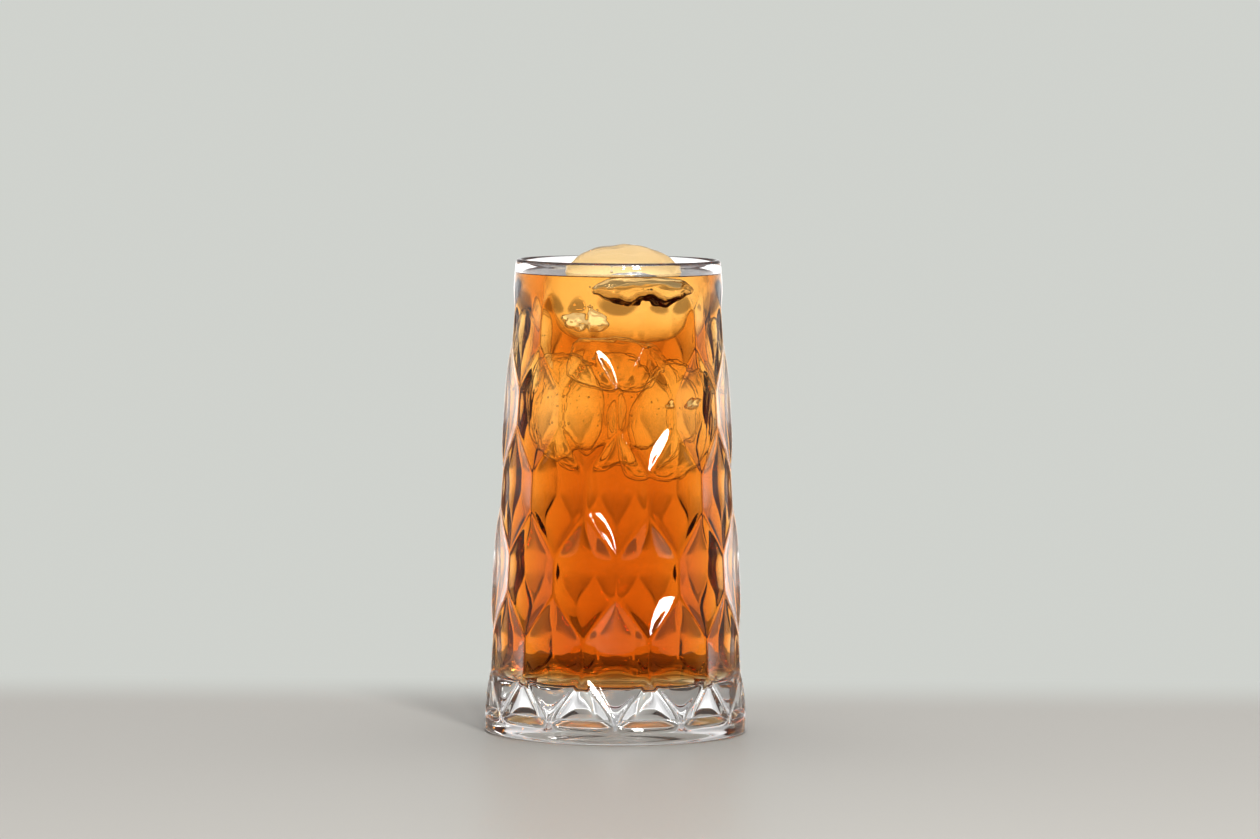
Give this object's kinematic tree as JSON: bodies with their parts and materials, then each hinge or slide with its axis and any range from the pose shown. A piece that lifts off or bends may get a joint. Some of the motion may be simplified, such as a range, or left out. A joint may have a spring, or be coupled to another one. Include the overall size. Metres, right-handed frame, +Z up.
{
  "type": "glass tumbler of iced tea",
  "caption": "Tall pressed-glass tumbler with rows of hollow leaves, full of iced tea, with a lump of ice standing out of it.",
  "frame": {"origin": "centre of the foot, on the surface the glass stands on", "axes": "+Z up along the glass's axis, +X to the right and -Y towards the viewer"},
  "size_m": [0.0836, 0.0836, 0.1549],
  "materials": {
    "pressed_glass": "fire-polished, clear",
    "brewed_tea": "clear amber liquid",
    "clear_ice": "wet, melted smooth"
  },
  "bodies": {
    "root": {"glass": "pressed_glass", "tea": "brewed_tea", "ice": "clear_ice"}
  },
  "joints": []
}
